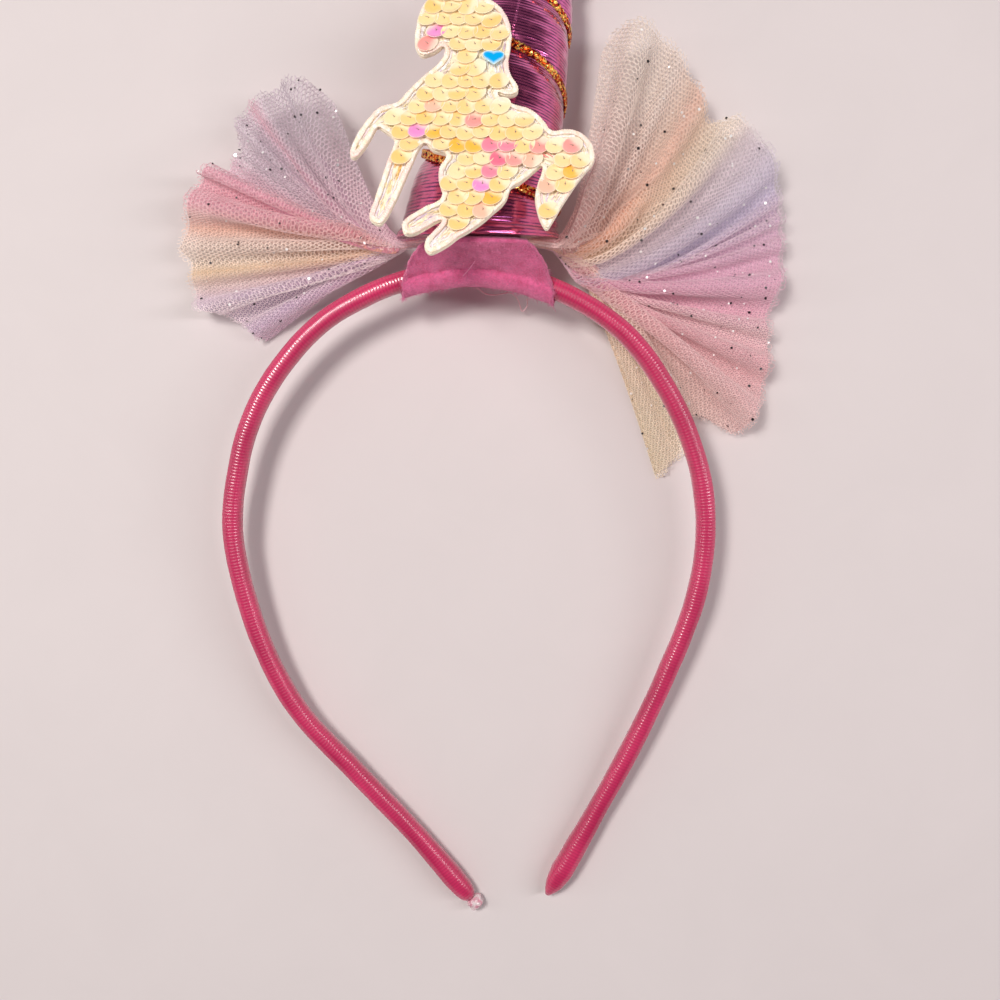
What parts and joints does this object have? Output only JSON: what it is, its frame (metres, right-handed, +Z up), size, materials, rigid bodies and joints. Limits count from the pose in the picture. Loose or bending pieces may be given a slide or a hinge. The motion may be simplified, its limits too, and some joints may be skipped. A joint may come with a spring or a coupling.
{
  "type": "unicorn horn headband",
  "caption": "Child's satin-wrapped headband with a stuffed cone horn wound with glitter cord, a sequin unicorn patch, a felt pad and gathered tulle fans, lying on its back",
  "frame": {"origin": "on the surface that the headband lies on, below the middle of its bounding box", "axes": "+Z up from that surface, +Y from the band's tips over its crown and along the horn, +X across the arch to the right as seen from above"},
  "size_m": [0.1424, 0.2842, 0.0403],
  "materials": {
    "satin_ribbon": "crimson-pink satin with a fine cross rib",
    "dried_glue": "cloudy hot glue",
    "horn_lame": "metallic pink lame, finely crinkled",
    "glitter_cord": "flat cord of orange-gold glitter thread",
    "pink_felt": "dusty-pink felt with a short fuzz",
    "tulle_left": "sheer hexagonal net, lilac, pink, orange and cream, with glitter flakes",
    "tulle_right": "sheer hexagonal net, cream, lavender, pink and salmon, with glitter flakes",
    "cream_felt": "cream felt",
    "border_thread": "cream satin stitch",
    "pearl_sequins": "iridescent pearl, yellow to pink",
    "blue_sequin": "glossy blue"
  },
  "bodies": {
    "root": {"headband": "satin_ribbon", "glue_dab": "dried_glue", "horn": "horn_lame", "horn_cord": "glitter_cord", "felt_base": "pink_felt", "tulle_fan_left": "tulle_left", "tulle_fan_right": "tulle_right", "unicorn_patch": "cream_felt", "unicorn_border": "border_thread", "unicorn_sequins": "pearl_sequins", "heart_sequin": "blue_sequin"}
  },
  "joints": []
}
